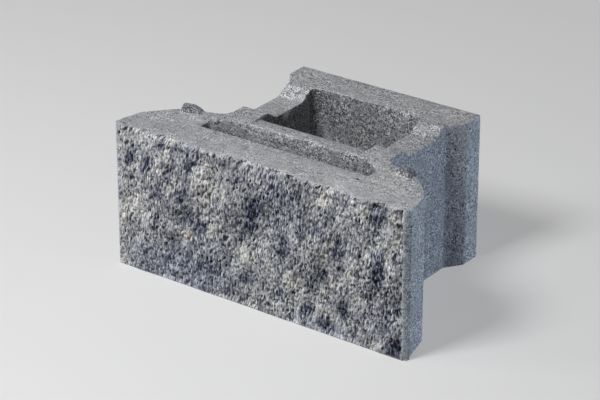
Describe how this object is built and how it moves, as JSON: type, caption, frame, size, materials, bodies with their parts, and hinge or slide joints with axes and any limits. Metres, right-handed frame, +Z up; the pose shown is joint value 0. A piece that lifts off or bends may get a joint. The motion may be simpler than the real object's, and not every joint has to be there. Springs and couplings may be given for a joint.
{
  "type": "split-face retaining wall block",
  "caption": "Hollow dry-cast concrete retaining wall block with a split rock face, a slot behind the face, an open rear core, saddle-topped webs, a flared tail and raised locating lugs.",
  "frame": {"origin": "centre of the block's box on the bed, half way along the face and half way from the proudest point of the face to the back of the tail", "axes": "+X along the face to the right as seen from in front, +Y from the face to the tail, +Z up"},
  "size_m": [0.4572, 0.3048, 0.2132],
  "materials": {
    "concrete": "dry-cast grey concrete, rough split face with charcoal and cream blended in"
  },
  "bodies": {
    "root": {"wall_block": "concrete"}
  },
  "joints": []
}
